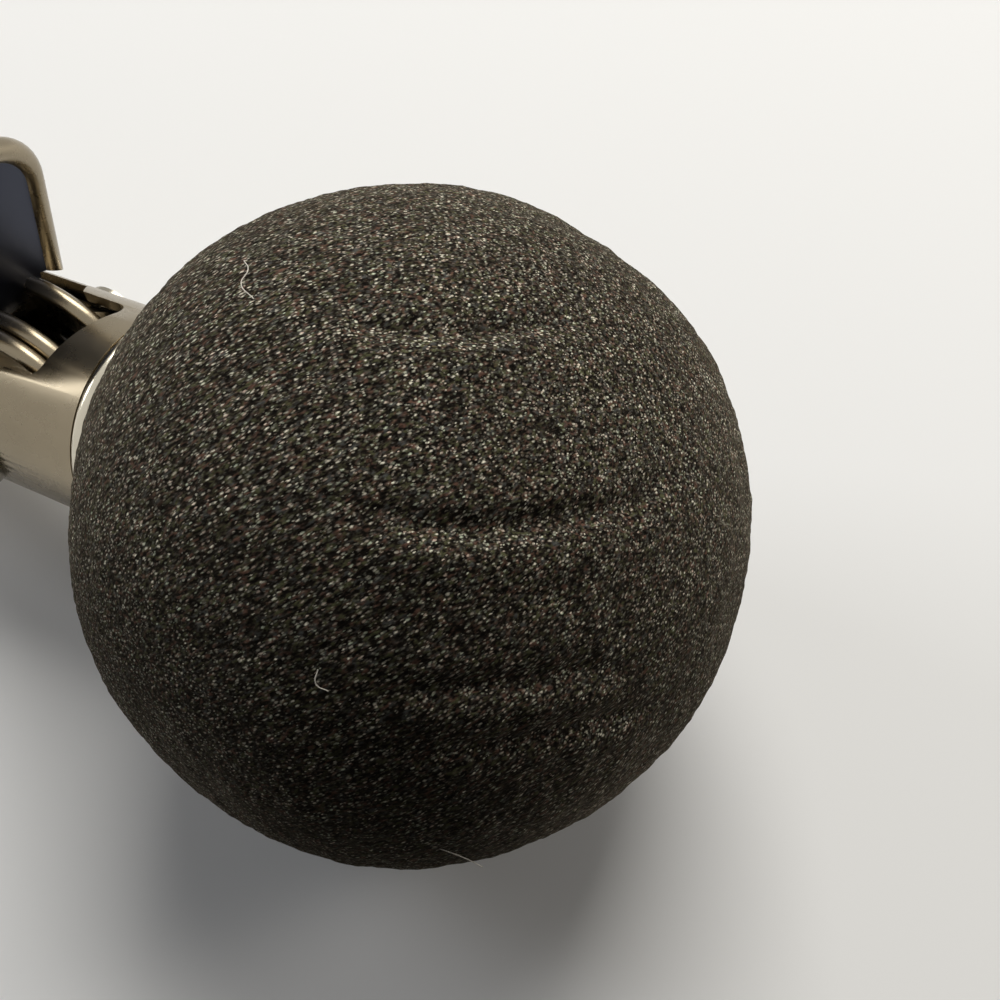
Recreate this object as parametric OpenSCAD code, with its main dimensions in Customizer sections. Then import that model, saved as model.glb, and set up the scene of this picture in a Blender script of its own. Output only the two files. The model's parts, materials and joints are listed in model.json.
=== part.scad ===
// Lavalier microphone with a foam ball windscreen, on its sprung metal clip.
// The microphone's own axis runs along X, foam to +X and jaws to -X, and the whole
// part is then laid on its ball and its jaw tip, as it rests on a table.

/* [Windscreen] */
// Diameter of the foam ball
foam_d = 28; // [24:0.5:36]
// Depth of the flat that the ball's own weight presses into it
foam_flat = 0.5; // [0.3:0.1:0.8]
// Running gap between the foam and the metal inside it
foam_gap = 0.3; // [0.2:0.05:0.5]
// Width of the flat rim round the windscreen's mouth
foam_rim_w = 0.6; // [0.4:0.1:1]

/* [Microphone head] */
// Outside diameter of the barrel that carries the foam
barrel_d = 8; // [7.6:0.1:8.4]
// Length of the barrel from its lip to the face of the grille
barrel_len = 14; // [11:0.5:17]
// Wall of the barrel
barrel_wall = 0.5; // [0.4:0.05:0.55]
// Distance from the ball's back to the front of the lip
lip_back = 0.1; // [0:0.1:0.4]
// Thickness of the polished lip between the foam and the clip
lip_t = 0.8; // [0.6:0.05:0.9]
// How far the lip stands out beyond the clip's collar
lip_proud = 0.15; // [0:0.05:0.3]
// Length of the spigot that plugs into the clip's collar
spigot_len = 1.25; // [1.2:0.05:1.4]
// Thickness of the grille's face
grille_t = 0.6; // [0.4:0.05:0.8]
// Diameter of one sound hole in the grille
grille_hole_d = 0.9; // [0.6:0.05:1]
// Length of the grille's skirt inside the barrel
skirt_len = 1.2; // [1:0.1:1.5]
// Wall of the grille's skirt
skirt_wall = 0.35; // [0.3:0.05:0.4]
// Thickness of the woven mesh behind the grille
mesh_t = 0.2; // [0.1:0.05:0.3]
// Assembly gap between pieces that are pushed together
fit_gap = 0.05; // [0.03:0.01:0.08]

/* [Capsule] */
// Diameter of the electret capsule
capsule_d = 6; // [5.6:0.1:6]
// Length of the electret capsule
capsule_len = 2.7; // [2.6:0.1:3.2]
// Thickness of the capsule's front wall
can_front_t = 0.25; // [0.2:0.05:0.3]
// Wall of the capsule's drawn can
can_wall = 0.2; // [0.15:0.05:0.25]
// Thickness of the dust felt on the capsule
felt_t = 0.2; // [0.1:0.05:0.3]
// Thickness of the ring that stretches the diaphragm
ring_t = 0.3; // [0.2:0.05:0.35]
// Thickness of the diaphragm film
film_t = 0.05; // [0.03:0.01:0.08]
// Thickness of the insulating washer behind the diaphragm
washer_t = 0.08; // [0.06:0.01:0.12]
// Thickness of the charged backplate
plate_t = 0.3; // [0.2:0.05:0.35]
// Thickness of the circuit board that closes the can
board_t = 0.5; // [0.4:0.05:0.55]
// Width of the turned-in edge that holds the board
crimp_w = 0.5; // [0.3:0.05:0.6]
// Wall of the rubber sleeve round the capsule
sleeve_wall = 0.38; // [0.3:0.02:0.4]

/* [Cable inlet] */
// Bore of the rubber bush that the cable goes through
inlet_d = 1.8; // [1.4:0.1:1.9]
// Diameter of the bush where it passes the rear cap
bush_d = 2.6; // [2.5:0.05:2.7]
// Height of the inlet below the microphone's axis
inlet_drop = 1.7; // [1.5:0.05:1.75]
// Length of the bush's tail behind the rear cap
bush_tail = 1.5; // [1:0.1:1.8]
// Thickness of the rear cap
cap_t = 1.2; // [0.8:0.1:1.2]
// Width of the cable slot in the clip's floor
cable_slot_w = 2.4; // [2:0.1:2.5]
// Length of the cable slot
cable_slot_len = 4; // [3:0.25:5]

/* [Clip] */
// Outside diameter of the clip's collar
collar_d = 10.2; // [9.9:0.1:10.5]
// Thickness of the clip's sheet metal
sheet_t = 0.5; // [0.45:0.05:0.55]
// Length of the closed collar at the top
collar_len = 1.7; // [1.6:0.05:1.9]
// Length of the clip behind the lip
clip_len = 31.7; // [28.2:0.5:37.7]
// Width of the opening in the clip's top
top_slot_w = 5.4; // [5:0.1:5.8]
// Corner radius at the front of that opening
slot_corner_r = 0.8; // [0.5:0.1:1]
// How far the near end of the opening's front edge lies behind its far end
slot_skew = 1; // [0:0.1:1.2]
// Height of the biting line below the axis
bite_drop = 1.3; // [1:0.1:1.6]
// How far behind the lip the side walls start to fall
wall_fall_start = 10.5; // [10.4:0.1:10.9]
// Length over which the side walls fall to the biting line
wall_fall_len = 3; // [2.5:0.25:3.5]

/* [Jaws] */
// Gap between the jaws where they bite
bite_gap = 0.12; // [0.08:0.02:0.2]
// Pitch of the teeth
tooth_pitch = 1.2; // [1:0.1:1.6]
// Depth of the teeth
tooth_depth = 0.6; // [0.4:0.05:0.7]
// Length of the toothed stretch of each side
toothed_len = 8.4; // [6:0.6:12]
// Height of the upper jaw's back above the axis where it starts
jaw_back_h = 4.35; // [4.3:0.05:4.6]
// Height of the upper jaw's back above the axis at its tip
jaw_tip_h = 0.9; // [0.6:0.1:1.4]
// Corner radius of the upper jaw's back
jaw_corner_r = 2.3; // [1.8:0.1:2.6]

/* [Lever] */
// Distance of the pivot behind the lip
pivot_back = 6.9; // [6.8:0.05:7.1]
// Clearance in front of the lever's ears
ear_gap = 0.4; // [0.35:0.05:0.5]
// Half width over the lever's ears
ear_half_w = 3.3; // [3.1:0.05:3.35]
// Clearance between the lever's nose and the clip's walls
nose_gap = 0.25; // [0.2:0.05:0.3]
// Radius of the rolled edge on the ears
bead_r = 0.45; // [0.35:0.05:0.5]
// Distance of each rolled edge from the middle plane
bead_y = 1.7; // [1.6:0.05:1.75]
// Distance of the third rolled edge from the middle plane, towards the near ear
rib_y = 0.75; // [0.65:0.05:0.85]
// Distance of the heel, which the spring pushes, behind the pivot
heel_back = 3.5; // [3.4:0.05:3.7]
// Distance of the thumb tab's foot behind the pivot
tab_back = 0.7; // [0.5:0.1:1.2]
// Forward lean of the thumb tab, in degrees
tab_lean = 18; // [14:1:20]
// Width of the thumb tab
tab_w = 7.8; // [7:0.2:8.4]
// Length of the thumb tab from its foot
tab_len = 10.4; // [9:0.2:12]
// Radius of the thumb tab's rolled rim
rim_r = 0.55; // [0.45:0.05:0.6]
// Gap between the thumb tab's shoulders and the clip's walls
shoulder_gap = 0.45; // [0.4:0.05:0.6]

/* [Pivot and spring] */
// Diameter of the pivot pin
pin_d = 1.8; // [1.6:0.1:2]
// Running clearance of the lever on the pin
pin_gap = 0.05; // [0.03:0.01:0.08]
// Diameter of the pin's domed head
pin_head_d = 3.4; // [3:0.1:3.6]
// Height of the pin's domed head
pin_head_h = 0.7; // [0.5:0.05:0.9]
// Diameter of the spring wire
wire_d = 0.6; // [0.5:0.05:0.65]
// Mean diameter of the spring's turns
coil_d = 3.4; // [3.2:0.1:3.6]
// Distance between the spring's turns
coil_pitch = 1.05; // [1.05:0.01:1.1]
// Height of the lug that the spring's lower leg stands on, from the axis
lug_drop = 2.9; // [2.7:0.1:3]

/* [Hidden] */
$fn = 64;

// Stations along the axis, measured from the middle of the ball
foam_r = foam_d / 2;
foam_mouth_x = -sqrt(pow(foam_r, 2) - pow(barrel_d / 2 + foam_gap + foam_rim_w, 2));
lip_front_x = -foam_r - lip_back;
lip_x = lip_front_x - lip_t;
head_front_x = lip_front_x + barrel_len;
barrel_front_x = head_front_x - grille_t;
skirt_end_x = barrel_front_x - skirt_len;
spigot_end_x = lip_x - spigot_len;
bush_end_x = spigot_end_x - bush_tail;
slot_front_x = lip_x - collar_len;
pivot_x = lip_x - pivot_back;
heel_x = pivot_x - heel_back;
tab_foot_x = pivot_x - tab_back;
jaw_end_x = lip_x - clip_len;

// Flange in front of the rear cap, and barb behind it, that hold the bush
bush_flange_t = 0.5;
bush_flange_w = 0.35;
bush_barb_w = 0.25;

// Radii about the axis
barrel_r = barrel_d / 2;
groove_lead = 2.2;
bore_r = barrel_r - barrel_wall;
collar_r = collar_d / 2;
collar_in_r = collar_r - sheet_t;
lip_r = collar_r + lip_proud;
skirt_r = bore_r - fit_gap;
nose_r = collar_in_r - nose_gap;
far = 100;

// Capsule, front to back
capsule_r = capsule_d / 2;
can_in_r = capsule_r - can_wall;
stack_r = can_in_r - fit_gap;
ring_w = 0.55;
stack_in_r = stack_r - ring_w;
seat_w = 0.15;
plate_hole_r = 0.2;
chip_size = [0.4, 1.1, 1.2];
capacitor_size = [0.3, 0.5, 1];
pad_r = 0.6;
pad_y = 0.9;
felt_x = skirt_end_x + fit_gap;
can_x = felt_x - felt_t;
ring_x = can_x - can_front_t;
film_x = ring_x - ring_t;
washer_x = film_x - film_t;
plate_x = washer_x - washer_t;
gate_x = plate_x - plate_t;
can_end_x = can_x - capsule_len;
board_end_x = can_end_x + can_wall;
board_x = board_end_x + board_t;
sleeve_end_x = can_end_x - sleeve_wall;

// Lever
ear_reach = pivot_back - spigot_len - ear_gap;
ear_r = ear_reach - bead_r;
ear_web_h = 1.5;
ear_web_r = ear_r - ear_web_h;
ear_web_from = 32;
ear_web_span = 93;
jaw_inset = 0.15;
jaw_half_w = collar_r - jaw_inset;
jaw_lag = 1.4;
jaw_front_x = lip_x - wall_fall_start - jaw_lag;
bridge_lap = 2.6;
bridge_x = jaw_front_x - bridge_lap;
jaw_top_lead = 0.6;
jaw_foot_lead = 1.1;
jaw_slope = atan2(jaw_back_h - jaw_tip_h, jaw_front_x - jaw_end_x);
bite_z = -bite_drop;
boss_wall = 0.8;
boss_r = pin_d / 2 + boss_wall;
lever_slot_lead = 1.25;
lever_slot_x = pivot_x + lever_slot_lead;
tab_foot_z = nose_r - sheet_t / 2;
tab_round_z = tab_len - tab_w / 2;
tab_foot_half_w = top_slot_w / 2 - nose_gap;
tab_sink = 2;

// Spring: whole turns plus the quarter that turns its legs square to each other
coil_r = coil_d / 2;
coil_turns = 3.25;
wire_r = wire_d / 2;
coil_half_w = coil_turns * coil_pitch / 2;
rings_per_turn = 8;
wire_sides = 6;
heel_half_w = coil_half_w + wire_r + 2 * fit_gap;
heel_lap = 0.3;
heel_z = coil_r - wire_r - heel_lap;
lug_l = 1.2;
lug_w = 1;

// Lying pose: the ball's flat and the lower jaw's end touch one plane
rest_h = foam_r - foam_flat;
tip_reach = norm([jaw_end_x, collar_r]);
lean = asin(rest_h / tip_reach) - atan2(collar_r, -jaw_end_x);
back_x = jaw_end_x * cos(lean) - jaw_tip_h * sin(lean);
middle_x = (foam_r + back_x) / 2;

nickel = [0.62, 0.58, 0.50];
brass = [0.80, 0.64, 0.30];
foam_black = [0.12, 0.11, 0.10];

// ---- shared shapes ----

// Lays the microphone on the table
module lay() translate([-middle_x, 0, rest_h]) rotate([0, -lean, 0]) children();

// A round bar along X, from one station to another
module rod(x_low, x_high, r, r_low = -1) {
    translate([x_low, 0, 0]) rotate([0, 90, 0])
        cylinder(h = x_high - x_low, r1 = r_low < 0 ? r : r_low, r2 = r);
}

// A ring or tube along X
module tube(x_low, x_high, r_out, r_in) {
    difference() {
        rod(x_low, x_high, r_out);
        rod(x_low - 1, x_high + 1, r_in);
    }
}

// A side view, drawn in X and Z, given a width along Y
module side_view(width) {
    translate([0, width / 2, 0]) rotate([90, 0, 0]) linear_extrude(width) children();
}

// A cross-section, drawn in Y and Z, run along X
module section_run(x_low, x_high) {
    translate([x_low, 0, 0]) rotate([90, 0, 90]) linear_extrude(x_high - x_low) children();
}

// Upright slot with round ends, cut through the floor or the top
module slot_plan(x_front, x_back, width, z_low, z_high) {
    translate([0, 0, z_low]) linear_extrude(z_high - z_low) union() {
        translate([x_front - width / 2, 0]) circle(d = width);
        translate([x_back + width / 2, 0]) circle(d = width);
        translate([x_back + width / 2, -width / 2]) square([x_front - x_back - width, width]);
    }
}

// The opening in the clip's top: its front edge slants, and it is wider behind the pivot
// where the lever rises
module top_opening() linear_extrude(far) union() {
    slot_half_w = top_slot_w / 2;
    lever_half_w = ear_half_w + nose_gap;
    narrow_x = lever_slot_x + lever_half_w - slot_half_w;
    corner_y = slot_half_w - slot_corner_r;
    far_corner = [slot_front_x - slot_corner_r, corner_y];
    near_corner = [slot_front_x - slot_corner_r - slot_skew, -corner_y];
    slant = atan2(slot_skew, 2 * corner_y);
    to_edge = slot_corner_r * [cos(slant), -sin(slant)];
    translate(far_corner) circle(r = slot_corner_r);
    translate(near_corner) circle(r = slot_corner_r);
    polygon([
        near_corner + to_edge, far_corner + to_edge,
        far_corner + [0, slot_corner_r], [narrow_x, slot_half_w],
        [lever_slot_x, lever_half_w], [jaw_end_x - far, lever_half_w],
        [jaw_end_x - far, -lever_half_w], [lever_slot_x, -lever_half_w],
        [narrow_x, -slot_half_w], near_corner - [0, slot_corner_r]
    ]);
}

// A row of holes on a circle about the axis
module hole_circle(count, pitch_r, r, x_low, x_high) {
    for (i = [0:count - 1]) rotate([360 * i / count, 0, 0])
        translate([0, 0, pitch_r]) rod(x_low, x_high, r);
}

// ---- windscreen ----

module foam_windscreen() color(foam_black) intersection() {
    lay() difference() {
        sphere(r = foam_r, $fn = 96);
        rod(lip_x, head_front_x + foam_gap, barrel_r + foam_gap);
        translate([foam_mouth_x - far, -far / 2, -far / 2]) cube([far, far, far]);
    }
    translate([-far, -far, 0]) cube([2 * far, 2 * far, far]);
}

// ---- microphone head ----

module mic_barrel() color(nickel) lay() translate([lip_x, 0, 0]) rotate([0, 90, 0]) rotate_extrude()
    difference() {
        union() {
            translate([0, -spigot_len]) square([collar_in_r - fit_gap, spigot_len]);
            square([lip_r - lip_t / 2, lip_t]);
            translate([lip_r - lip_t / 2, lip_t / 2]) circle(d = lip_t, $fn = 32);
            square([barrel_r, barrel_front_x - lip_x]);
        }
        translate([-1, -far / 2]) square([bore_r + 1, far]);
        // groove that the foam closes into
        translate([barrel_r, lip_t + groove_lead]) circle(r = barrel_wall / 2, $fn = 32);
    }

module front_grille() color(nickel) lay() difference() {
    union() {
        rod(barrel_front_x, head_front_x - grille_t / 2, barrel_r);
        translate([head_front_x - grille_t / 2, 0, 0]) rotate([0, 90, 0])
            cylinder(h = grille_t / 2, r1 = barrel_r, r2 = barrel_r - grille_t / 2);
        rod(skirt_end_x, barrel_front_x, skirt_r);
    }
    rod(skirt_end_x - 1, barrel_front_x, skirt_r - skirt_wall);
    rod(barrel_front_x - 1, head_front_x + 1, grille_hole_d / 2);
    hole_circle(6, grille_hole_d * 1.5, grille_hole_d / 2, barrel_front_x - 1, head_front_x + 1);
    hole_circle(12, grille_hole_d * 2.75, grille_hole_d / 2, barrel_front_x - 1, head_front_x + 1);
}

module acoustic_mesh() color([0.35, 0.35, 0.36]) lay()
    rod(barrel_front_x - mesh_t, barrel_front_x, skirt_r - skirt_wall - fit_gap);

module capsule_sleeve() color([0.10, 0.10, 0.10]) lay() difference() {
    rod(sleeve_end_x, felt_x - fit_gap * 2, capsule_r + fit_gap + sleeve_wall);
    rod(can_end_x, felt_x + 1, capsule_r + fit_gap);
    rod(sleeve_end_x - 1, can_end_x, capsule_r - crimp_w);
}

module dust_felt() color([0.08, 0.08, 0.09]) lay() rod(can_x, felt_x, capsule_r - can_wall);

module capsule_can() color([0.78, 0.78, 0.80]) lay() difference() {
    rod(can_end_x, can_x, capsule_r);
    rod(board_end_x, ring_x, can_in_r);
    rod(can_end_x - 1, board_end_x + 0.1, can_in_r - crimp_w);
    rod(ring_x - 0.1, can_x + 1, grille_hole_d / 2);
}

module diaphragm_ring() color(brass) lay() tube(film_x, ring_x, stack_r, stack_in_r);

module diaphragm() color([0.85, 0.82, 0.70]) lay() rod(washer_x, film_x, stack_r);

module insulating_washer() color([0.90, 0.90, 0.86]) lay() tube(plate_x, washer_x, stack_r, stack_in_r);

module backplate() color([0.75, 0.75, 0.72]) lay() difference() {
    rod(gate_x, plate_x, stack_in_r + seat_w);
    hole_circle(4, stack_in_r / 2, plate_hole_r, gate_x - 1, plate_x + 1);
}

module backplate_holder() color([0.88, 0.86, 0.80]) lay()
    tube(board_x, plate_x, stack_r, stack_in_r + seat_w + fit_gap);

module gate_ring() color(brass) lay()
    tube(board_x, gate_x, stack_in_r + seat_w, stack_in_r - seat_w);

module circuit_board() color([0.16, 0.36, 0.22]) lay() rod(board_end_x, board_x, stack_r);

module fet_chip() color([0.09, 0.09, 0.10]) lay()
    translate([board_x, seat_w - chip_size.y, -chip_size.z / 2]) cube(chip_size);

module filter_capacitor() color([0.62, 0.50, 0.36]) lay()
    translate([board_x, capacitor_size.y, -capacitor_size.z / 2]) cube(capacitor_size);

module solder_pads() color([0.80, 0.80, 0.80]) lay() for (side = [-1, 1])
    translate([board_end_x, side * pad_y, 0]) intersection() {
        sphere(r = pad_r, $fn = 32);
        translate([-1, -1, -1]) cube([1, 2, 2]);
    }

module rear_cap() color([0.30, 0.29, 0.27]) lay() difference() {
    rod(spigot_end_x, spigot_end_x + cap_t, bore_r - fit_gap);
    translate([0, 0, -inlet_drop]) rod(spigot_end_x - 1, spigot_end_x + cap_t + 1, bush_d / 2 + fit_gap);
}

module cable_bush() color([0.07, 0.07, 0.07]) lay() translate([0, 0, -inlet_drop]) difference() {
    union() {
        rod(spigot_end_x + cap_t, spigot_end_x + cap_t + bush_flange_t, bush_d / 2 + bush_flange_w);
        rod(spigot_end_x - fit_gap, spigot_end_x + cap_t + fit_gap, bush_d / 2);
        rod(bush_end_x, spigot_end_x, bush_d / 2 + bush_barb_w, bush_d / 2 - bush_barb_w / 2);
    }
    rod(bush_end_x - 1, spigot_end_x + cap_t + 2, inlet_d / 2);
}

// ---- clip ----

// One row of teeth seen from the side, standing on the biting line
module tooth_row(x_low, length, height) {
    count = floor(length / tooth_pitch);
    polygon(concat(
        [[x_low, height - 5], [x_low, height]],
        [for (i = [0:count - 1]) for (p = [[0.5, -tooth_depth], [1, 0]])
            [x_low + (i + p[0]) * tooth_pitch, height + p[1]]],
        [[x_low + count * tooth_pitch, height - 5]]
    ));
}

// Everything below the biting edge of the lower jaw, in side view
module lower_side() union() {
    polygon([
        [lip_x, -far / 2], [lip_x, far / 2],
        [lip_x - wall_fall_start, far / 2], [lip_x - wall_fall_start, collar_r],
        [lip_x - wall_fall_start - wall_fall_len, bite_z],
        [jaw_end_x + toothed_len, bite_z], [jaw_end_x + toothed_len, -far / 2]
    ]);
    difference() {
        translate([jaw_end_x, -far / 2]) square([toothed_len + 0.01, far / 2 + bite_z]);
        translate([jaw_end_x, bite_z - tooth_depth]) square([toothed_len, far]);
    }
    tooth_row(jaw_end_x, toothed_len, bite_z);
}

module clip_body() color(nickel) lay() difference() {
    union() {
        intersection() {
            union() {
                tube(jaw_end_x, lip_x, collar_r, collar_in_r);
                rod(jaw_end_x, jaw_end_x + sheet_t, collar_r);
            }
            side_view(3 * collar_r) lower_side();
        }
        // lug beside the cable slot, for the spring's lower leg
        intersection() {
            rod(jaw_end_x, lip_x, collar_in_r + sheet_t / 2);
            translate([pivot_x + coil_r - lug_l / 2, -coil_half_w - lug_w / 2, -far - lug_drop])
                cube([lug_l, lug_w, far]);
        }
    }
    top_opening();
    slot_plan(bush_end_x, bush_end_x - cable_slot_len, cable_slot_w, -far, -collar_in_r / 2);
    translate([pivot_x, 0, 0]) rotate([90, 0, 0])
        cylinder(h = 3 * collar_r, r = pin_d / 2 + fit_gap, center = true);
}

// ---- lever ----

// Arch that runs inside the clip's walls
module arch(r, half_w) intersection() {
    circle(r = r);
    translate([-half_w, -r]) square([2 * half_w, 2 * r]);
}

// Outline of the ears and the bridge behind them, in side view
module nose_side() {
    intersection() {
        translate([pivot_x, 0]) circle(r = ear_r);
        translate([pivot_x - far / 2, 0]) square([far, far]);
    }
    translate([pivot_x, 0]) circle(r = boss_r);
    polygon([
        [pivot_x, 0], [pivot_x, nose_r + 1], [bridge_x, nose_r + 1],
        [bridge_x, 0], [jaw_front_x, -boss_r], [pivot_x, -boss_r]
    ]);
}

// Back of the upper jaw: a rounded channel that slopes to the tip
module jaw_back(inset) {
    half_w = jaw_half_w - inset;
    corner = jaw_corner_r - inset;
    translate([jaw_front_x, 0, jaw_back_h]) rotate([0, -jaw_slope, 0])
        section_run(-clip_len, clip_len / 4) translate([0, -inset]) union() {
            for (side = [-1, 1]) translate([side * (half_w - corner), -corner]) circle(r = corner);
            translate([corner - half_w, -2 * corner]) square([2 * (half_w - corner), 2 * corner]);
            translate([-half_w, -3 * collar_r]) square([2 * half_w, 3 * collar_r - corner]);
        }
}

// Side view of the upper jaw, down to its teeth
module upper_side() difference() {
    polygon([
        [jaw_front_x + jaw_top_lead, far / 4],
        [jaw_front_x - wall_fall_len + jaw_foot_lead, bite_z + bite_gap],
        [jaw_end_x + toothed_len, bite_z + bite_gap], [jaw_end_x + toothed_len, bite_z - tooth_depth],
        [jaw_end_x, bite_z - tooth_depth], [jaw_end_x, far / 4]
    ]);
    translate([0, bite_gap]) tooth_row(jaw_end_x, toothed_len, bite_z);
}

// One of the upright webs of the ears, with its rolled edge
module ear_web(y) translate([pivot_x, y, 0]) rotate([90, 0, 0]) rotate([0, 0, ear_web_from]) {
    rotate_extrude(angle = ear_web_span) translate([ear_web_r, -sheet_t / 2]) square([ear_web_h, sheet_t]);
    rotate_extrude(angle = ear_web_span) translate([ear_r, 0]) circle(r = bead_r, $fn = 24);
}

// The thumb tab: plate, narrow foot, and rim rolled round its edge
module thumb_tab() {
    half_w = tab_w / 2 - rim_r;
    difference() {
        translate([tab_foot_x, 0, tab_foot_z]) rotate([0, tab_lean, 0]) union() {
            section_run(-sheet_t / 2, sheet_t / 2) union() {
                translate([0, tab_round_z]) circle(r = half_w);
                translate([-half_w, -tab_sink]) square([2 * half_w, tab_round_z + tab_sink]);
            }
            translate([0, 0, tab_round_z]) rotate([90, 0, 90])
                rotate_extrude(angle = 180) translate([half_w, 0]) circle(r = rim_r, $fn = 24);
            for (side = [-1, 1]) translate([0, side * half_w, -tab_sink])
                cylinder(h = tab_round_z + tab_sink, r = rim_r, $fn = 24);
        }
        rod(jaw_end_x, lip_x, collar_r + shoulder_gap);
    }
    difference() {
        translate([tab_foot_x, 0, tab_foot_z]) rotate([0, tab_lean, 0])
            translate([-sheet_t / 2, -tab_foot_half_w, -tab_sink])
                cube([sheet_t, 2 * tab_foot_half_w, 2 * tab_sink]);
        rod(jaw_end_x, lip_x, nose_r - sheet_t / 2);
    }
}

module clip_lever() color(nickel) lay() difference() {
    union() {
        // ears and bridge
        difference() {
            intersection() {
                section_run(bridge_x, pivot_x + ear_r) difference() {
                    arch(nose_r, ear_half_w);
                    arch(nose_r - sheet_t, ear_half_w - sheet_t);
                }
                side_view(3 * collar_r) nose_side();
            }
            translate([tab_foot_x + sheet_t, -bead_y, 0]) cube([far, 2 * bead_y, far]);
        }
        for (y = [-bead_y, -rib_y, bead_y]) ear_web(y);
        // upper jaw
        intersection() {
            difference() {
                jaw_back(0);
                intersection() {
                    jaw_back(sheet_t);
                    translate([jaw_end_x + sheet_t, -far / 2, -far / 2]) cube([far, far, far]);
                }
            }
            side_view(3 * collar_r) upper_side();
        }
        thumb_tab();
        // heel that the spring pushes
        section_run(heel_x - sheet_t / 2, heel_x + sheet_t / 2) difference() {
            translate([-heel_half_w, heel_z]) square([2 * heel_half_w, nose_r]);
            difference() {
                square(2 * far, center = true);
                circle(r = nose_r - sheet_t / 2);
            }
        }
    }
    translate([pivot_x, 0, 0]) rotate([90, 0, 0])
        cylinder(h = 3 * collar_r, r = pin_d / 2 + pin_gap, center = true);
}

// ---- pivot and spring ----

module pivot_pin() color([0.70, 0.68, 0.62]) lay() difference() {
    translate([pivot_x, 0, 0]) union() {
        rotate([90, 0, 0]) cylinder(h = 2 * collar_r, r = pin_d / 2, center = true);
        for (side = [-1, 1]) intersection() {
            translate([0, side * (collar_r + pin_head_h - pin_head_d), 0]) sphere(r = pin_head_d, $fn = 64);
            rotate([90, 0, 0]) translate([0, 0, side > 0 ? -collar_r - pin_head_h - 1 : collar_r / 2])
                cylinder(h = collar_r / 2 + pin_head_h + 1, d = pin_head_d);
        }
    }
    difference() {
        rod(pivot_x - pin_head_d, pivot_x + pin_head_d, collar_r + 0.01);
        translate([pivot_x, 0, 0]) rotate([90, 0, 0])
            cylinder(h = 4 * collar_r, r = pin_d / 2, center = true);
    }
}

// Centre line of the spring: leg up from the lug, turns, leg back to the heel
function coil_point(turn) = [
    pivot_x + coil_r * cos(360 * turn),
    -coil_half_w + coil_pitch * turn,
    coil_r * sin(360 * turn)
];
spring_path = concat(
    [[pivot_x + coil_r, -coil_half_w, -lug_drop + fit_gap], [pivot_x + coil_r, -coil_half_w, -wire_d]],
    [for (i = [0:coil_turns * rings_per_turn]) coil_point(i / rings_per_turn)],
    [[pivot_x - wire_d, coil_half_w, coil_r], [heel_x + sheet_t / 2 + fit_gap, coil_half_w, coil_r]]
);

// Least distance between turns, surface to surface
spring_gap = min([for (i = [0:coil_turns * rings_per_turn - rings_per_turn])
    for (j = [i + rings_per_turn / 2:coil_turns * rings_per_turn])
        norm(coil_point(j / rings_per_turn) - coil_point(i / rings_per_turn))]) - wire_d;
echo(spring_gap = spring_gap);

function unit(v) = v / norm(v);

// A tube of a few flat sides, swept along points that turn about Y
module swept_wire(path, r, sides) {
    last = len(path) - 1;
    tangent = [for (i = [0:last]) unit(path[min(i + 1, last)] - path[max(i - 1, 0)])];
    rings = [for (i = [0:last]) let (
        side_dir = unit(cross(tangent[i], [0, 1, 0])),
        up_dir = cross(side_dir, tangent[i])
    ) for (k = [0:sides - 1])
        path[i] + r * (cos(360 * k / sides) * side_dir + sin(360 * k / sides) * up_dir)];
    walls = [for (i = [0:last - 1]) for (k = [0:sides - 1]) let (
        a = i * sides + k,
        b = i * sides + (k + 1) % sides
    ) for (face = [[a, b, b + sides], [a, b + sides, a + sides]]) face];
    ends = concat(
        [for (k = [1:sides - 2]) [0, k + 1, k]],
        [for (k = [1:sides - 2]) [last * sides, last * sides + k, last * sides + k + 1]]
    );
    polyhedron(points = rings, faces = concat(walls, ends));
}

module torsion_spring() color([0.60, 0.60, 0.58]) lay() swept_wire(spring_path, wire_r, wire_sides);

foam_windscreen();
mic_barrel();
front_grille();
acoustic_mesh();
capsule_sleeve();
dust_felt();
capsule_can();
diaphragm_ring();
diaphragm();
insulating_washer();
backplate();
backplate_holder();
gate_ring();
circuit_board();
fet_chip();
filter_capacitor();
solder_pads();
rear_cap();
cable_bush();
clip_body();
clip_lever();
pivot_pin();
torsion_spring();
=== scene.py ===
import json
import math

import bpy
import numpy as np
from mathutils import Matrix, Vector, noise


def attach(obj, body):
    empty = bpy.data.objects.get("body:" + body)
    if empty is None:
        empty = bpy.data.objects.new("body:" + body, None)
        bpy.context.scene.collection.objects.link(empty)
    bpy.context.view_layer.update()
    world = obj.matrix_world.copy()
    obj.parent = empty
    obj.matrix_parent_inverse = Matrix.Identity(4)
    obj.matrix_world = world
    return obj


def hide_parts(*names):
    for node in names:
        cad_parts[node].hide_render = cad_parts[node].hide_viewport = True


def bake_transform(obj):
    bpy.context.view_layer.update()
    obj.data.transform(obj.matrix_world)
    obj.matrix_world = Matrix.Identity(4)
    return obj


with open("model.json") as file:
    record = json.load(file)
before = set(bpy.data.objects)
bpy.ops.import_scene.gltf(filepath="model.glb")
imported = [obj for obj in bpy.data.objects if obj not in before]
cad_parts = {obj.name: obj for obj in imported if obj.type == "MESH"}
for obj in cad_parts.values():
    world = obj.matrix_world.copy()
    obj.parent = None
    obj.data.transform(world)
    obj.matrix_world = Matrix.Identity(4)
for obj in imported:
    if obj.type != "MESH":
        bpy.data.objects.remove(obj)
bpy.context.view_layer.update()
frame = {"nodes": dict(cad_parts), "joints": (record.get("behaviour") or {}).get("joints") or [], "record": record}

mm = 0.001

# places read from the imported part, so that every piece sits on the CAD
record = frame["record"]
jointByName = {joint["name"]: joint for joint in frame["joints"]}
mountByName = {mount["name"]: mount for mount in record["mounts"]}
micAxis = Vector(jointByName["head_slide"]["axis"]).normalized()
sideAxis = Vector((0, 1, 0))
riseAxis = micAxis.cross(sideAxis).normalized()
pivot = Vector(jointByName["lever_hinge"]["pos_m"])

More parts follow.
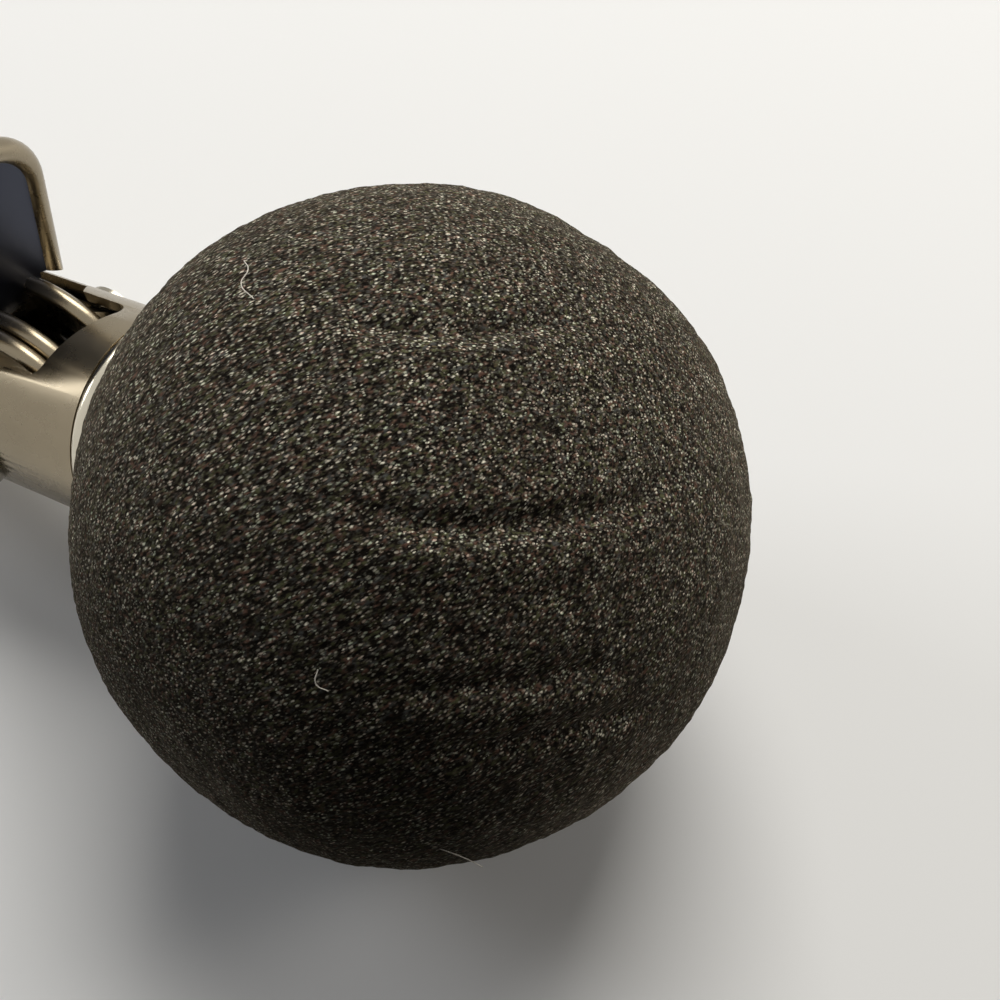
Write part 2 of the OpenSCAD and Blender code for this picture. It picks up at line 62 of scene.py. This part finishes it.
ballRadius = 14 * mm
ballFlat = 0.5 * mm
ballCentre = Vector(mountByName["ball_rest"]["pos_m"]) + Vector((0, 0, ballRadius - ballFlat))


def onAxis(along, side=0.0, rise=0.0):
    # a point in millimetres: along the microphone's axis from the ball's middle, to its side, and above it
    return ballCentre + (micAxis * along + sideAxis * side + riseAxis * rise) * mm


def deselectAll():
    if bpy.context.object and bpy.context.object.mode != "OBJECT":
        bpy.ops.object.mode_set(mode="OBJECT")
    bpy.ops.object.select_all(action="DESELECT")


def makeActive(piece):
    deselectAll()
    piece.select_set(True)
    bpy.context.view_layer.objects.active = piece


def applyPlace(piece):
    makeActive(piece)
    bpy.ops.object.transform_apply(location=True, rotation=True, scale=True)


def applyAll(piece):
    makeActive(piece)
    for modifier in list(piece.modifiers):
        bpy.ops.object.modifier_apply(modifier=modifier.name)


# materials

def startMaterial(name):
    material = bpy.data.materials.new(name)
    material.use_nodes = True
    nodes, links = material.node_tree.nodes, material.node_tree.links
    nodes.clear()
    output = nodes.new("ShaderNodeOutputMaterial")
    shader = nodes.new("ShaderNodeBsdfPrincipled")
    links.new(shader.outputs["BSDF"], output.inputs["Surface"])
    coords = nodes.new("ShaderNodeTexCoord")
    return material, nodes, links, shader, coords.outputs["Object"]


def addNoise(nodes, links, vector, size, detail=2.0, roughness=0.5):
    # size is the width of one patch, in millimetres
    texture = nodes.new("ShaderNodeTexNoise")
    texture.inputs["Scale"].default_value = 1 / (size * mm)
    texture.inputs["Detail"].default_value = detail
    texture.inputs["Roughness"].default_value = roughness
    links.new(vector, texture.inputs["Vector"])
    return texture


def addRange(nodes, links, value, fromLow, fromHigh, toLow, toHigh, smooth=False):
    remap = nodes.new("ShaderNodeMapRange")
    remap.interpolation_type = "SMOOTHSTEP" if smooth else "LINEAR"
    remap.inputs["From Min"].default_value = fromLow
    remap.inputs["From Max"].default_value = fromHigh
    remap.inputs["To Min"].default_value = toLow
    remap.inputs["To Max"].default_value = toHigh
    links.new(value, remap.inputs["Value"])
    return remap.outputs["Result"]


def addMix(nodes, links, factor, first, second):
    mix = nodes.new("ShaderNodeMix")
    mix.data_type = "RGBA"
    links.new(factor, mix.inputs["Factor"])
    for socket, value in ((mix.inputs["A"], first), (mix.inputs["B"], second)):
        if isinstance(value, tuple):
            socket.default_value = (*value, 1)
        else:
            links.new(value, socket)
    return mix.outputs["Result"]


def addMath(nodes, links, operation, first, second):
    node = nodes.new("ShaderNodeMath")
    node.operation = operation
    for socket, value in zip(node.inputs, (first, second)):
        if isinstance(value, (int, float)):
            socket.default_value = value
        else:
            links.new(value, socket)
    return node.outputs["Value"]


def addBump(nodes, links, shader, height, depth):
    # depth is the height of the relief, in millimetres
    bump = nodes.new("ShaderNodeBump")
    bump.inputs["Strength"].default_value = 1
    bump.inputs["Distance"].default_value = depth * mm
    links.new(height, bump.inputs["Height"])
    links.new(bump.outputs["Normal"], shader.inputs["Normal"])


# pit and shade are painted shade in the foam's pores
foamLook = {
    "paintedPitShade": (0.0022, 0.0020, 0.0018), "shade": (0.017, 0.013, 0.010), "brown": (0.135, 0.072, 0.052),
    # cream, rose and sage are the colours of painted glints
    "olive": (0.086, 0.088, 0.044), "grey": (0.075, 0.077, 0.072), "glintCream": (1.0, 0.94, 0.76),
    "glintRose": (0.80, 0.62, 0.50), "glintSage": (0.66, 0.72, 0.54),
    "strutSize": 0.13, "strutStretch": 2.2, "strutTurn": (0.60, 0.60, 0.53),
    "tintSize": 0.20, "patchSize": 0.8, "paintedGlints": [(0.135, 2.3), (0.095, 2.8)], "glintReach": (0.05, 0.46),
    "warmRange": (0.42, 0.58), "greenRange": (0.46, 0.60), "pitShadeRange": (0.30, 0.52), "litRange": (0.46, 0.68),
    "fray": 0.06, "relief": 0.04, "roughness": 0.9, "shine": 0.02, "fuzz": 0.08, "fuzzTint": (1.0, 0.86, 0.66),
}


def addPaintedGlints(nodes, links, vector, size, rarity):
    # painted glints: bright points painted into the colour where a strut would catch the light, most of them
    # faint, each with a colour of its own
    points = nodes.new("ShaderNodeTexVoronoi")
    points.inputs["Scale"].default_value = 1 / (size * mm)
    links.new(vector, points.inputs["Vector"])
    near = addRange(nodes, links, points.outputs["Distance"], *foamLook["glintReach"], 1, 0, True)
    chosen = nodes.new("ShaderNodeSeparateColor")
    links.new(points.outputs["Color"], chosen.inputs["Color"])
    rare = addMath(nodes, links, "POWER", chosen.outputs["Red"], rarity)
    strength = addMath(nodes, links, "MULTIPLY", near, rare)
    pale = addRange(nodes, links, chosen.outputs["Green"], 0.1, 0.5, 0, 1)
    hue = addMix(nodes, links, pale, foamLook["glintRose"], foamLook["glintCream"])
    leafy = addRange(nodes, links, chosen.outputs["Blue"], 0.6, 0.9, 0, 1)
    return strength, addMix(nodes, links, leafy, hue, foamLook["glintSage"])


def foamMaterial():
    look = foamLook
    material, nodes, links, shader, coords = startMaterial("openCellFoam")
    # struts: a fine noise, drawn out one way as the foam's cells are, with painted shade in the dark pits between
    grainWise = nodes.new("ShaderNodeMapping")
    grainWise.vector_type = "TEXTURE"
    turn = Vector((1, 0, 0)).rotation_difference(Vector(look["strutTurn"]))
    grainWise.inputs["Rotation"].default_value = turn.to_euler()
    grainWise.inputs["Scale"].default_value = (look["strutStretch"], 1, 1)
    links.new(coords, grainWise.inputs["Vector"])
    drawn = grainWise.outputs["Vector"]
    struts = addNoise(nodes, links, drawn, look["strutSize"], 1.5, 0.6)
    # tints that change from strut to strut
    tints = addNoise(nodes, links, drawn, look["tintSize"], 1)
    parts = nodes.new("ShaderNodeSeparateColor")
    links.new(tints.outputs["Color"], parts.inputs["Color"])
    warmth = addRange(nodes, links, parts.outputs["Red"], *look["warmRange"], 0, 1)
    green = addRange(nodes, links, parts.outputs["Green"], *look["greenRange"], 0, 1)
    tint = addMix(nodes, links, warmth, look["grey"], look["brown"])
    tint = addMix(nodes, links, green, tint, look["olive"])
    patch = addNoise(nodes, links, coords, look["patchSize"], 2)
    patchMask = addRange(nodes, links, patch.outputs["Fac"], 0.3, 0.7, 0.6, 1.4)
    # painted shade: the pits between the struts are darkened in the colour
    pitShadeMask = addRange(nodes, links, struts.outputs["Fac"], *look["pitShadeRange"], 0, 1)
    lit = addRange(nodes, links, struts.outputs["Fac"], *look["litRange"], 0, 1)
    colour = addMix(nodes, links, pitShadeMask, look["paintedPitShade"], look["shade"])
    colour = addMix(nodes, links, addMath(nodes, links, "MULTIPLY", lit, patchMask), colour, tint)
    frayed = addNoise(nodes, links, drawn, look["fray"], 1)
    uneven = nodes.new("ShaderNodeVectorMath")
    uneven.operation = "MULTIPLY_ADD"
    uneven.inputs[1].default_value = (look["fray"] * mm,) * 3
    links.new(frayed.outputs["Color"], uneven.inputs[0])
    links.new(drawn, uneven.inputs[2])
    # painted glints laid over the foam's colour
    for size, rarity in look["paintedGlints"]:
        strength, hue = addPaintedGlints(nodes, links, uneven.outputs["Vector"], size, rarity)
        colour = addMix(nodes, links, addMath(nodes, links, "MULTIPLY", strength, patchMask), colour, hue)
    links.new(colour, shader.inputs["Base Color"])
    shader.inputs["Roughness"].default_value = look["roughness"]
    shader.inputs["Specular IOR Level"].default_value = look["shine"]
    shader.inputs["Sheen Weight"].default_value = look["fuzz"]
    shader.inputs["Sheen Tint"].default_value = (*look["fuzzTint"], 1)
    addBump(nodes, links, shader, struts.outputs["Fac"], look["relief"])
    return material


metalLook = {"darker": 0.86, "grainSize": 0.05, "relief": 0.0015}


def metalMaterial(name, colour, roughness, wear=0.06, patch=2.0):
    material, nodes, links, shader, coords = startMaterial(name)
    cloud = addNoise(nodes, links, coords, patch, 3)
    darker = tuple(part * metalLook["darker"] for part in colour)
    tone = addMix(nodes, links, addRange(nodes, links, cloud.outputs["Fac"], 0.3, 0.7, 0, 1), darker, colour)
    links.new(tone, shader.inputs["Base Color"])
    shader.inputs["Metallic"].default_value = 1
    smear = addNoise(nodes, links, coords, patch / 4, 4)
    spread = addRange(nodes, links, smear.outputs["Fac"], 0.3, 0.7, roughness - wear / 2, roughness + wear)
    links.new(spread, shader.inputs["Roughness"])
    grain = addNoise(nodes, links, coords, metalLook["grainSize"], 2)
    addBump(nodes, links, shader, grain.outputs["Fac"], metalLook["relief"])
    return material


def plainMaterial(name, colour, roughness, patch=0.4, relief=0.01, metallic=0.0, clear=0.0):
    material, nodes, links, shader, coords = startMaterial(name)
    cloud = addNoise(nodes, links, coords, patch, 3)
    darker = tuple(part * 0.7 for part in colour)
    tone = addMix(nodes, links, addRange(nodes, links, cloud.outputs["Fac"], 0.3, 0.7, 0, 1), darker, colour)
    links.new(tone, shader.inputs["Base Color"])
    shader.inputs["Roughness"].default_value = roughness
    shader.inputs["Metallic"].default_value = metallic
    shader.inputs["Coat Weight"].default_value = clear
    addBump(nodes, links, shader, cloud.outputs["Fac"], relief)
    return material


def meshMaterial():
    # woven wire: two sets of threads that cross
    material, nodes, links, shader, coords = startMaterial("wovenWire")
    threads = []
    for direction in ("Y", "Z"):
        wave = nodes.new("ShaderNodeTexWave")
        wave.bands_direction = direction
        wave.inputs["Scale"].default_value = 1 / (1.2 * mm)
        links.new(coords, wave.inputs["Vector"])
        threads.append(wave.outputs["Fac"])
    weave = addMath(nodes, links, "MAXIMUM", threads[0], threads[1])
    links.new(addMix(nodes, links, weave, (0.02, 0.02, 0.02), (0.4, 0.4, 0.41)), shader.inputs["Base Color"])
    shader.inputs["Metallic"].default_value = 0.8
    shader.inputs["Roughness"].default_value = 0.4
    addBump(nodes, links, shader, weave, 0.04)
    return material


def makeMaterials():
    nickel = (0.32, 0.27, 0.19)
    return {
        "foam": foamMaterial(),
        "lint": plainMaterial("paleLint", lint["colour"], 0.8, 0.1),
        "polishedNickel": metalMaterial("polishedNickel", nickel, 0.27, 0.025, 4.0),
        "brightLip": metalMaterial("brightLip", (0.72, 0.67, 0.55), 0.20, 0.02),
        # painted reflection of shade: a dark bluish nickel for the flat of the thumb tab
        "shadedNickel": metalMaterial("shadedNickel", (0.050, 0.056, 0.082), 0.36, 0.02, 4.0),
        "satinMetal": metalMaterial("satinMetal", (0.40, 0.38, 0.35), 0.32),
        "pinSteel": metalMaterial("pinSteel", (0.38, 0.35, 0.29), 0.22),
        "springSteel": metalMaterial("springSteel", (0.30, 0.28, 0.24), 0.25),
        "wovenWire": meshMaterial(),
        "rubber": plainMaterial("softRubber", (0.022, 0.022, 0.022), 0.62),
        "felt": plainMaterial("dustFelt", (0.03, 0.03, 0.035), 0.95, 0.12, 0.04),
        "aluminium": metalMaterial("drawnAluminium", (0.74, 0.75, 0.77), 0.28),
        "brass": metalMaterial("turnedBrass", (0.72, 0.50, 0.20), 0.25),
        "film": plainMaterial("metallisedFilm", (0.70, 0.67, 0.58), 0.2, 1.0, 0.004, 0.7),
        "insulator": plainMaterial("mouldedInsulator", (0.66, 0.63, 0.54), 0.5),
        "board": plainMaterial("boardMask", (0.03, 0.14, 0.06), 0.35, 0.5, 0.01, 0, 0.5),
        "chip": plainMaterial("chipPackage", (0.02, 0.02, 0.022), 0.45, 0.1),
        "ceramic": plainMaterial("ceramicChip", (0.36, 0.24, 0.13), 0.4, 0.1),
        "solder": metalMaterial("solderJoint", (0.62, 0.62, 0.62), 0.22),
        "blackPlastic": plainMaterial("blackPlastic", (0.02, 0.02, 0.02), 0.45),
    }


# stage, light and camera

cameraView = {
    "elevation": 54.3, "azimuth": 31.1, "distance": 62.3, "imageSize": 1000, "focalPixels": 1480,
    "ballAcross": 414, "ballDown": 523, "sensor": 36,
}


def makeCamera():
    view = cameraView
    elevation, azimuth = math.radians(view["elevation"]), math.radians(view["azimuth"])
    flat = math.cos(elevation)
    back = Vector((math.sin(azimuth) * flat, -math.cos(azimuth) * flat, math.sin(elevation)))
    right = Vector((math.cos(azimuth), math.sin(azimuth), 0))
    up = back.cross(right)
    middle = view["imageSize"] / 2
    perPixel = view["distance"] * mm / view["focalPixels"]
    place = ballCentre + back * view["distance"] * mm
    place -= right * (view["ballAcross"] - middle) * perPixel
    place -= up * (middle - view["ballDown"]) * perPixel
    camera = bpy.data.objects.new("camera", bpy.data.cameras.new("camera"))
    bpy.context.scene.collection.objects.link(camera)
    camera.location = place
    camera.rotation_mode = "QUATERNION"
    camera.rotation_quaternion = Matrix((right, up, back)).transposed().to_quaternion()
    camera.data.sensor_width = view["sensor"]
    camera.data.lens = view["focalPixels"] / view["imageSize"] * view["sensor"]
    camera.data.clip_start = 1 * mm
    camera.data.clip_end = 10
    bpy.context.scene.camera = camera
    return back, right, up


lamps = {
    "key": {"away": (-60, 180, 300), "size": 240, "power": 1.22, "colour": (1.0, 0.98, 0.93)},
    "side": {"away": (240, 230, 120), "size": 120, "power": 0.40, "colour": (1.0, 0.96, 0.90)},
    "left": {"away": (-300, -60, 170), "size": 160, "power": 0.33, "colour": (0.95, 0.97, 1.0)},
}
backdrop = {
    "seen": 0.80, "lit": 0.02, "worldSeen": 0.72, "worldLit": 0.05, "tone": (1, 0.985, 0.96),
    "fadeFrom": 0.12, "fadeTo": 0.32,
}


def makeLamp(name, settings):
    data = bpy.data.lights.new(name, "AREA")
    data.size = settings["size"] * mm
    data.energy = settings["power"]
    data.color = settings["colour"]
    lamp = bpy.data.objects.new(name, data)
    bpy.context.scene.collection.objects.link(lamp)
    lamp.location = ballCentre + Vector(settings["away"]) * mm
    lamp.rotation_mode = "QUATERNION"
    lamp.rotation_quaternion = (lamp.location - ballCentre).to_track_quat("Z", "Y")


def seenDirectly(nodes, links):
    path = nodes.new("ShaderNodeLightPath")
    seen = addMath(nodes, links, "MAXIMUM", path.outputs["Is Camera Ray"], path.outputs["Is Glossy Ray"])
    return addMath(nodes, links, "MAXIMUM", seen, path.outputs["Is Transmission Ray"])


def makeStage():
    bpy.ops.mesh.primitive_plane_add(size=1, location=(0, 0, 0))
    floor = bpy.context.object
    floor.name = "floor"
    floor.scale = (4, 4, 1)
    applyPlace(floor)
    material, nodes, links, shader, coords = startMaterial("paleFloor")
    seen = seenDirectly(nodes, links)
    colour = addMix(nodes, links, seen, (backdrop["lit"],) * 3, (backdrop["seen"],) * 3)
    # far from the part the floor takes the backdrop's tone, so that no edge shows behind it
    reach = nodes.new("ShaderNodeVectorMath")
    reach.operation = "LENGTH"
    links.new(coords, reach.inputs[0])
    far = addRange(nodes, links, reach.outputs["Value"], backdrop["fadeFrom"], backdrop["fadeTo"], 0, 1, True)
    colour = addMix(nodes, links, far, colour, (0, 0, 0))
    links.new(colour, shader.inputs["Base Color"])
    farSeen = addMath(nodes, links, "MULTIPLY", far, seen)
    glow = addRange(nodes, links, farSeen, 0, 1, 0, backdrop["worldSeen"])
    links.new(glow, shader.inputs["Emission Strength"])
    shader.inputs["Emission Color"].default_value = (*backdrop["tone"], 1)
    shader.inputs["Roughness"].default_value = 0.9
    floor.data.materials.append(material)
    world = bpy.data.worlds.new("studio")
    bpy.context.scene.world = world
    world.use_nodes = True
    nodes, links = world.node_tree.nodes, world.node_tree.links
    sky = nodes["Background"]
    seen = seenDirectly(nodes, links)
    strength = addRange(nodes, links, seen, 0, 1, backdrop["worldLit"], backdrop["worldSeen"])
    links.new(strength, sky.inputs["Strength"])
    sky.inputs["Color"].default_value = (*backdrop["tone"], 1)
    for name, settings in lamps.items():
        makeLamp(name, settings)
    bpy.context.scene.view_settings.view_transform = "Standard"
    print("stage, lamps and camera made")


# foam ball

foamBall = {
    "voxel": 0.14, "rearCut": 13.11, "boreRadius": 4.3, "boreEnd": 0.3,
    "skinFrom": 12.6, "skinOver": 0.8, "mouthFrom": 0.95, "mouthOver": 0.05, "pressBelow": 0.25,
    "mouthFlat": 0.6, "mouthSpread": 24, "mouthEdge": 1.6, "swell": 0.16, "swellSize": 9.0,
    "lump": 0.06, "lumpSize": 1.2, "grain": 0.05, "grainSize": 0.39,
}
# soft creases, as (heading, height) in degrees about the ball; width and depth in millimetres
creases = [
    {"line": [(-158, 82), (-95, 83), (-62, 83), (-3, 78), (24, 68), (38, 60)], "width": 0.46, "depth": 0.23},
    {"line": [(-73, 57), (-55, 55), (-36, 52), (-24, 50), (-7, 44), (0, 43), (13, 36)],
     "width": 0.50, "depth": 0.26},
    {"line": [(-65, 31), (-47, 31), (-39, 30), (-30, 28), (-12, 20)], "width": 0.44, "depth": 0.24},
    {"line": [(-60, 22), (-45, 20), (-34, 19), (-27, 17), (-10, 9)], "width": 0.44, "depth": 0.25},
]
# the swelling below each groove, in widths of the groove, and the share of a crease over which it fades
creaseShape = {"away": 2.4, "spread": 1.5, "share": 0.5, "reach": 4, "fade": 0.25}
# dents, and swellings below nought: (heading, height, spread in degrees, depth in millimetres)
dents = [
    (76, 42, 12, 0.24), (9, 6, 12, 0.24), (-97, 1, 13, 0.22),
    (38, 36, 16, -0.18), (-70, -7, 16, -0.15),
]


def directionOf(heading, height):
    heading, height = math.radians(heading), math.radians(height)
    level = math.cos(height)
    return np.array((math.cos(heading) * level, math.sin(heading) * level, math.sin(height)))


def creaseMoves(outward):
    # how far each point moves in, in millimetres: a narrow groove, and a swelling along its lower side
    shape = creaseShape
    moved = np.zeros(len(outward))
    for crease in creases:
        route = [directionOf(*point) for point in crease["line"]]
        nearest, below, along = (np.full(len(outward), 9.0) for _ in range(3))
        for index, (start, end) in enumerate(zip(route, route[1:])):
            step = end - start
            share = np.clip((outward - start) @ step / (step @ step), 0, 1)
            offset = (outward - start - share[:, None] * step) * ballRadius / mm
            reach = np.linalg.norm(offset, axis=1)
            closer = reach < nearest
            nearest[closer] = reach[closer]
            down = np.cross(step, start)
            below[closer] = (offset @ (down / np.linalg.norm(down)))[closer]
            along[closer] = ((index + share) / (len(route) - 1))[closer]
        ends = np.clip(np.minimum(along, 1 - along) / shape["fade"], 0, 1)
        fade = ends * ends * (3 - 2 * ends)
        groove = np.exp(-(nearest / crease["width"]) ** 2)
        lower = (below / crease["width"] - shape["away"]) / shape["spread"]
        swelling = np.exp(-lower ** 2) * (nearest < shape["reach"])
        moved += fade * crease["depth"] * (groove - shape["share"] * swelling)
    return moved


def makeFoam(material):
    look = foamBall
    deselectAll()
    bpy.ops.mesh.primitive_ico_sphere_add(subdivisions=6, radius=ballRadius, location=ballCentre)
    foam = bpy.context.object
    foam.name = "foamBall"
    applyPlace(foam)
    # flat round the mouth, then the bore that the barrel fills
    bpy.ops.object.mode_set(mode="EDIT")
    bpy.ops.mesh.select_all(action="SELECT")
    bpy.ops.mesh.bisect(plane_co=onAxis(-look["rearCut"]), plane_no=-micAxis, use_fill=True, clear_outer=True)
    bpy.ops.object.mode_set(mode="OBJECT")
    deselectAll()
    depth = (look["rearCut"] + look["boreEnd"] + 1) * mm
    middle = onAxis((look["boreEnd"] - look["rearCut"] - 1) / 2)
    turn = Vector((0, 0, 1)).rotation_difference(micAxis).to_euler()
    radius = look["boreRadius"] * mm
    bpy.ops.mesh.primitive_cylinder_add(vertices=96, radius=radius, depth=depth, location=middle, rotation=turn)
    bore = bpy.context.object
    applyPlace(bore)
    cut = foam.modifiers.new("bore", "BOOLEAN")
    cut.operation = "DIFFERENCE"
    cut.object = bore
    applyAll(foam)
    bpy.data.objects.remove(bore)
    remesh = foam.modifiers.new("cells", "REMESH")
    remesh.mode = "VOXEL"
    remesh.voxel_size = look["voxel"] * mm
    applyAll(foam)
    # swellings, creases and grain, by moving the skin in and out
    mesh = foam.data
    count = len(mesh.vertices)
    points = np.empty(count * 3)
    mesh.vertices.foreach_get("co", points)
    points = points.reshape(count, 3)
    fromMiddle = points - np.array(ballCentre)
    reach = np.linalg.norm(fromMiddle, axis=1)
    outward = fromMiddle / np.maximum(reach, 1e-9)[:, None]
    skin = np.clip((reach / mm - look["skinFrom"]) / look["skinOver"], 0, 1)  # the bore's wall stays round
    mouth = outward @ np.array(micAxis)
    skin *= np.clip((mouth + look["mouthFrom"]) / look["mouthOver"], 0, 1)
    # the voxels leave terraces, so the skin goes back to the true ball first
    trueBall = outward * ballRadius + np.array(ballCentre)
    points = points + (trueBall - points) * skin[:, None]
    moved = -creaseMoves(outward)
    for heading, height, spread, dent in dents:
        angle = np.degrees(np.arccos(np.clip(outward @ directionOf(heading, height), -1, 1)))
        moved -= dent * np.exp(-(angle / spread) ** 2)
    # pressed back round the lip
    fromMouth = np.degrees(np.arccos(np.clip(-mouth, -1, 1)))
    moved -= look["mouthFlat"] * np.clip(look["mouthEdge"] - fromMouth / look["mouthSpread"], 0, 1) ** 2
    swells = np.array([noise.noise(Vector(point / (look["swellSize"] * mm))) for point in points])
    lumps = np.array([noise.noise(Vector(point / (look["lumpSize"] * mm))) for point in points])
    grains = np.array([noise.noise(Vector(point / (look["grainSize"] * mm))) for point in points])
    moved += look["swell"] * swells + look["lump"] * lumps
    points = points + outward * ((moved * skin + look["grain"] * grains) * mm)[:, None]
    # the weight presses a flat on the table
    low = points[:, 2]
    points[:, 2] = np.where(low < look["pressBelow"] * mm, 0.02 * mm + np.maximum(low, 0) * 0.92, low)
    mesh.vertices.foreach_set("co", points.ravel())
    mesh.update()
    makeActive(foam)
    bpy.ops.object.shade_smooth()
    mesh.materials.clear()
    mesh.materials.append(material)
    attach(foam, "windscreen")
    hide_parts("foam_windscreen")
    print("foam ball made:", len(mesh.polygons), "faces")
    return foam


# stray fibres caught in the foam: headings and heights along each one, and how far it stands off in millimetres
lint = {
    "radius": 0.022, "colour": (0.80, 0.75, 0.66),
    "fibres": [
        [(-54, -4, 0.05), (-50, -6, 0.4), (-47, -11, 0.6)],
        [(-71, 34, 0.06), (-71, 32, 0.18), (-69, 31, 0.1)],
        [(-176, 63, 0.06), (-169, 66, 0.16), (-163, 66, 0.16), (-154, 69, 0.06)],
    ],
}


def makeLint(material):
    curve = bpy.data.curves.new("lint", "CURVE")
    curve.dimensions = "3D"
    curve.bevel_depth = lint["radius"] * mm
    curve.bevel_resolution = 1
    for fibre in lint["fibres"]:
        spline = curve.splines.new("BEZIER")
        spline.bezier_points.add(len(fibre) - 1)
        for point, (heading, height, standOff) in zip(spline.bezier_points, fibre):
            point.co = ballCentre + Vector(directionOf(heading, height)) * (ballRadius + standOff * mm)
            point.handle_left_type = point.handle_right_type = "AUTO"
    fibres = bpy.data.objects.new("strayFibres", curve)
    bpy.context.scene.collection.objects.link(fibres)
    makeActive(fibres)
    bpy.ops.object.convert(target="MESH")
    fibres = bpy.context.object
    bpy.ops.object.shade_smooth()
    fibres.data.materials.append(material)
    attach(fibres, "windscreen")
    print("stray fibres made")


# stamped metal

stamped = {
    "mergeWithin": 0.001, "flatWithin": 0.5, "softEdge": 0.07, "segments": 2,
    "sharpAbove": 32, "smoothBelow": 40,
}


def stampedCopy(nodeName, pieceName, body, material):
    # the CAD solid with the soft edges that tumbling and plating leave
    source = frame["nodes"][nodeName]
    piece = bpy.data.objects.new(pieceName, source.data.copy())
    bpy.context.scene.collection.objects.link(piece)
    makeActive(piece)
    bpy.ops.object.mode_set(mode="EDIT")
    bpy.ops.mesh.select_all(action="SELECT")
    bpy.ops.mesh.remove_doubles(threshold=stamped["mergeWithin"] * mm)
    bpy.ops.mesh.dissolve_limited(angle_limit=math.radians(stamped["flatWithin"]))
    bpy.ops.object.mode_set(mode="OBJECT")
    bevel = piece.modifiers.new("softEdge", "BEVEL")
    bevel.width = stamped["softEdge"] * mm
    bevel.segments = stamped["segments"]
    bevel.limit_method = "ANGLE"
    bevel.angle_limit = math.radians(stamped["sharpAbove"])
    applyAll(piece)
    makeActive(piece)
    bpy.ops.object.shade_smooth_by_angle(angle=math.radians(stamped["smoothBelow"]))
    weighted = piece.modifiers.new("evenShade", "WEIGHTED_NORMAL")
    weighted.keep_sharp = True
    applyAll(piece)
    piece.data.materials.clear()
    piece.data.materials.append(material)
    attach(piece, body)
    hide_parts(nodeName)
    print(pieceName, "made:", len(piece.data.polygons), "faces")
    return piece


tab = {"lean": 18, "from": 5.3}


def paintShadeOnTab(lever, material):
    # the flat of the thumb tab, inside its rolled rim, gets a dark bluish nickel: a painted reflection of shaded
    # surroundings
    lean = math.radians(tab["lean"])
    plateWay = micAxis * math.cos(lean) - riseAxis * math.sin(lean)
    lever.data.materials.append(material)
    facing = {}
    for face in lever.data.polygons:
        place = face.center - ballCentre
        if place.dot(riseAxis) > tab["from"] * mm and face.normal.dot(plateWay) > 0.9999:
            facing[face.index] = place.dot(plateWay)
    # the rim's top faces the same way, but stands in front of the flat
    flat = [index for index, depth in facing.items() if depth < min(facing.values()) + 0.1 * mm]
    for index in flat:
        lever.data.polygons[index].material_index = 1
    print("tab flat:", len(flat), "of", len(facing), "faces")


# spring

spring = {
    "wire": 0.6, "coil": 3.4, "pitch": 1.05, "turns": 3.25, "stepsPerTurn": 24, "sides": 10,
    "legFoot": -2.85, "heel": 3.2,
}


def makeSpring(material):
    look = spring
    reach, start = look["coil"] / 2, -look["turns"] * look["pitch"] / 2
    steps = round(look["turns"] * look["stepsPerTurn"])
    route = [(reach, start, look["legFoot"]), (reach, start, -1.6), (reach, start, -0.5)]
    for step in range(steps + 1):
        turn = step / look["stepsPerTurn"]
        angle = 2 * math.pi * turn
        route.append((reach * math.cos(angle), start + look["pitch"] * turn, reach * math.sin(angle)))
    route += [(-0.6, -start, reach), (-2.0, -start, reach), (-look["heel"], -start, reach)]
    curve = bpy.data.curves.new("spring", "CURVE")
    curve.dimensions = "3D"
    curve.bevel_depth = look["wire"] / 2 * mm
    curve.bevel_resolution = 3
    curve.use_fill_caps = True
    spline = curve.splines.new("POLY")
    spline.points.add(len(route) - 1)
    for point, (along, side, rise) in zip(spline.points, route):
        place = pivot + (micAxis * along + sideAxis * side + riseAxis * rise) * mm
        point.co = (*place, 1)
    wire = bpy.data.objects.new("springWire", curve)
    bpy.context.scene.collection.objects.link(wire)
    makeActive(wire)
    bpy.ops.object.convert(target="MESH")
    wire = bpy.context.object
    bpy.ops.object.shade_smooth_by_angle(angle=math.radians(50))
    wire.data.materials.append(material)
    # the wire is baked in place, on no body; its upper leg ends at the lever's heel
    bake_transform(wire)
    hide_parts("torsion_spring")
    print("spring made")


# what stays as the CAD has it

finishOfNode = {
    "front_grille": "satinMetal", "acoustic_mesh": "wovenWire",
    "capsule_sleeve": "rubber", "dust_felt": "felt", "capsule_can": "aluminium",
    "diaphragm_ring": "brass", "diaphragm": "film", "insulating_washer": "insulator",
    "backplate": "aluminium", "backplate_holder": "insulator", "gate_ring": "brass",
    "circuit_board": "board", "fet_chip": "chip", "filter_capacitor": "ceramic",
    "solder_pads": "solder", "rear_cap": "blackPlastic", "cable_bush": "rubber",
    "pivot_pin": "pinSteel",
}


def dressNodes(materials):
    for nodeName, finish in finishOfNode.items():
        node = frame["nodes"][nodeName]
        node.data.materials.clear()
        node.data.materials.append(materials[finish])
    print("inner pieces finished")


makeCamera()
makeStage()
materials = makeMaterials()
makeFoam(materials["foam"])
makeLint(materials["lint"])
stampedCopy("clip_body", "clipBody", "clip", materials["polishedNickel"])
lever = stampedCopy("clip_lever", "clipLever", "lever", materials["polishedNickel"])
paintShadeOnTab(lever, materials["shadedNickel"])
stampedCopy("mic_barrel", "micBarrel", "mic_head", materials["brightLip"])
makeSpring(materials["springSteel"])
dressNodes(materials)
